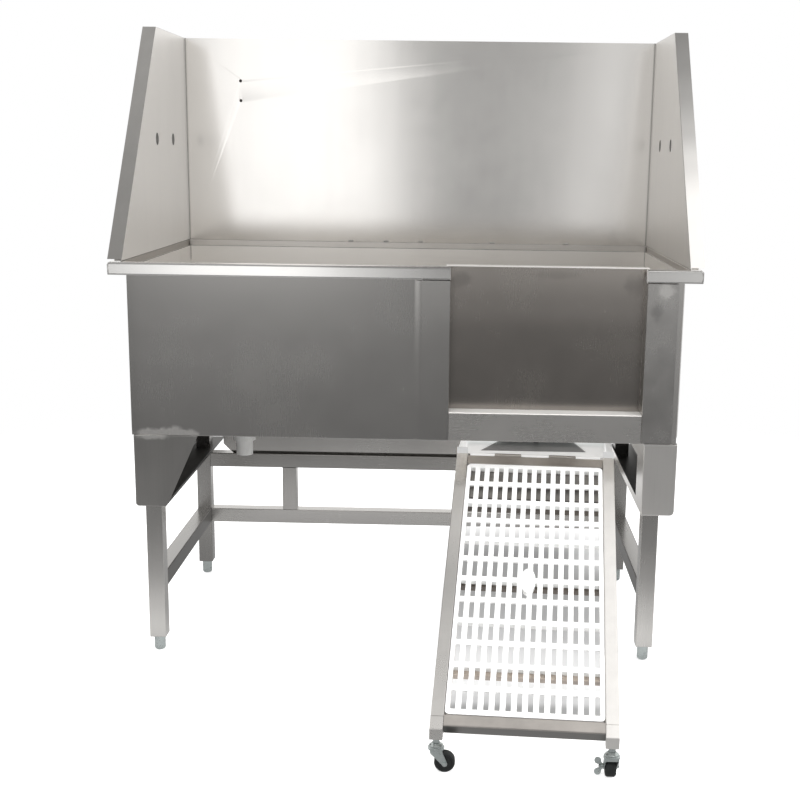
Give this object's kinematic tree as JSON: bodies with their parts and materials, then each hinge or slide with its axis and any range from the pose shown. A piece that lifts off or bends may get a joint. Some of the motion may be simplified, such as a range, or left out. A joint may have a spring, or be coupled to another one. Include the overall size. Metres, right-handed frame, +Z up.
{
  "type": "pet grooming bathtub",
  "caption": "Stainless pet bathtub on tube legs with splash guards, a lift-out front door and a pull-out ramp on casters.",
  "frame": {"origin": "on the floor, at the middle of the bounding box's footprint with the ramp pulled out", "axes": "+X to the right seen from the door side, +Y from the ramp towards the backsplash, +Z up"},
  "size_m": [1.28, 1.3168, 1.403],
  "materials": {
    "tub_steel": "brushed, soft reflections",
    "frame_steel": "brushed, slightly darker",
    "ramp_steel": "bright brushed",
    "drain_steel": "polished",
    "drain_plastic": "moulded",
    "zinc": "bright zinc plate",
    "grate_plastic": "moulded, satin",
    "tyre_rubber": "matte black"
  },
  "bodies": {
    "tub": {"basin": "tub_steel", "rim_front_left": "tub_steel", "rim_front_right": "tub_steel", "rim_left": "tub_steel", "rim_right": "tub_steel", "rim_rear": "tub_steel", "backsplash": "tub_steel", "guard_left": "tub_steel", "guard_right": "tub_steel", "door_post_left": "tub_steel", "door_post_right": "tub_steel", "door_jamb_left": "tub_steel", "door_jamb_right": "tub_steel", "door_sill": "tub_steel", "drain_flange": "drain_steel", "drain_locknut": "zinc", "drain_tailpiece": "drain_plastic", "leg_front_left": "frame_steel", "leg_front_right": "frame_steel", "leg_rear_left": "frame_steel", "leg_rear_right": "frame_steel", "side_brace_left": "frame_steel", "side_brace_right": "frame_steel", "rear_rail_upper": "frame_steel", "rear_rail_lower": "frame_steel", "rear_strut_left": "frame_steel", "rear_strut_right": "frame_steel", "rear_stiffener": "frame_steel", "gusset_left": "frame_steel", "gusset_right": "frame_steel", "ramp_slide_left": "frame_steel", "ramp_slide_right": "frame_steel"},
    "door": {"door_panel": "tub_steel", "door_liner": "tub_steel"},
    "strainer": {"drain_strainer": "drain_steel"},
    "foot_body_front_left": {"foot_front_left": "zinc"},
    "foot_body_front_right": {"foot_front_right": "zinc"},
    "foot_body_rear_left": {"foot_rear_left": "zinc"},
    "foot_body_rear_right": {"foot_rear_right": "zinc"},
    "runner": {"slide_bar": "zinc"},
    "tray": {"ramp_tray": "frame_steel", "hinge_pin": "zinc", "tray_bolt": "zinc"},
    "ramp": {"ramp_rail_left": "ramp_steel", "ramp_rail_right": "ramp_steel", "ramp_bar_top": "ramp_steel", "ramp_bar_bottom": "ramp_steel", "ramp_bearers": "ramp_steel", "ramp_grate": "grate_plastic", "caster_socket_left": "ramp_steel", "caster_socket_right": "ramp_steel", "caster_stem_left": "zinc", "caster_stem_right": "zinc"},
    "swivel_left": {"caster_fork_left": "zinc", "caster_axle_left": "zinc"},
    "swivel_right": {"caster_fork_right": "zinc", "caster_axle_right": "zinc"},
    "wheel_left": {"caster_wheel_left": "tyre_rubber"},
    "wheel_right": {"caster_wheel_right": "tyre_rubber"},
    "brake": {"brake_lever": "zinc"}
  },
  "joints": [
    {"name": "door_lift", "type": "slide", "parent": "tub", "child": "door", "axis": [0, 0, 1], "range_m": [0, 0.33]},
    {"name": "strainer_lift", "type": "slide", "parent": "tub", "child": "strainer", "axis": [0, 0, 1], "range_m": [0, 0.05]},
    {"name": "foot_screw_front_left", "type": "slide", "parent": "tub", "child": "foot_body_front_left", "axis": [0, 0, 1], "range_m": [-0.025, 0]},
    {"name": "foot_screw_front_right", "type": "slide", "parent": "tub", "child": "foot_body_front_right", "axis": [0, 0, 1], "range_m": [-0.025, 0]},
    {"name": "foot_screw_rear_left", "type": "slide", "parent": "tub", "child": "foot_body_rear_left", "axis": [0, 0, 1], "range_m": [-0.025, 0]},
    {"name": "foot_screw_rear_right", "type": "slide", "parent": "tub", "child": "foot_body_rear_right", "axis": [0, 0, 1], "range_m": [-0.025, 0]},
    {"name": "ramp_slide", "type": "slide", "parent": "tub", "child": "runner", "axis": [0, 1, 0], "range_m": [0, 0.5]},
    {"name": "ramp_swing", "type": "hinge", "parent": "runner", "child": "tray", "pos_m": [0.30204, 0.1071, 0.471], "axis": [0, 0, 1], "range_deg": [0, 7.6]},
    {"name": "ramp_tilt", "type": "hinge", "parent": "tray", "child": "ramp", "pos_m": [0.2925, -0.03658, 0.4635], "axis": [-0.9978, 0.0663, 0], "range_deg": [0, 31.9]},
    {"name": "caster_turn_left", "type": "hinge", "parent": "ramp", "child": "swivel_left", "pos_m": [0.09179, -0.62151, 0.05], "axis": [0, 0, 1], "continuous": true},
    {"name": "caster_turn_right", "type": "hinge", "parent": "ramp", "child": "swivel_right", "pos_m": [0.41408, -0.64292, 0.05], "axis": [0, 0, 1], "continuous": true},
    {"name": "wheel_spin_left", "type": "hinge", "parent": "swivel_left", "child": "wheel_left", "pos_m": [0.10779, -0.62151, 0.0195], "axis": [0, 1, 0], "continuous": true},
    {"name": "wheel_spin_right", "type": "hinge", "parent": "swivel_right", "child": "wheel_right", "pos_m": [0.41408, -0.62692, 0.0195], "axis": [1, 0, 0], "continuous": true},
    {"name": "brake_turn", "type": "hinge", "parent": "swivel_right", "child": "brake", "pos_m": [0.39808, -0.62692, 0.0195], "axis": [-1, 0, 0], "range_deg": [0, 20]}
  ]
}
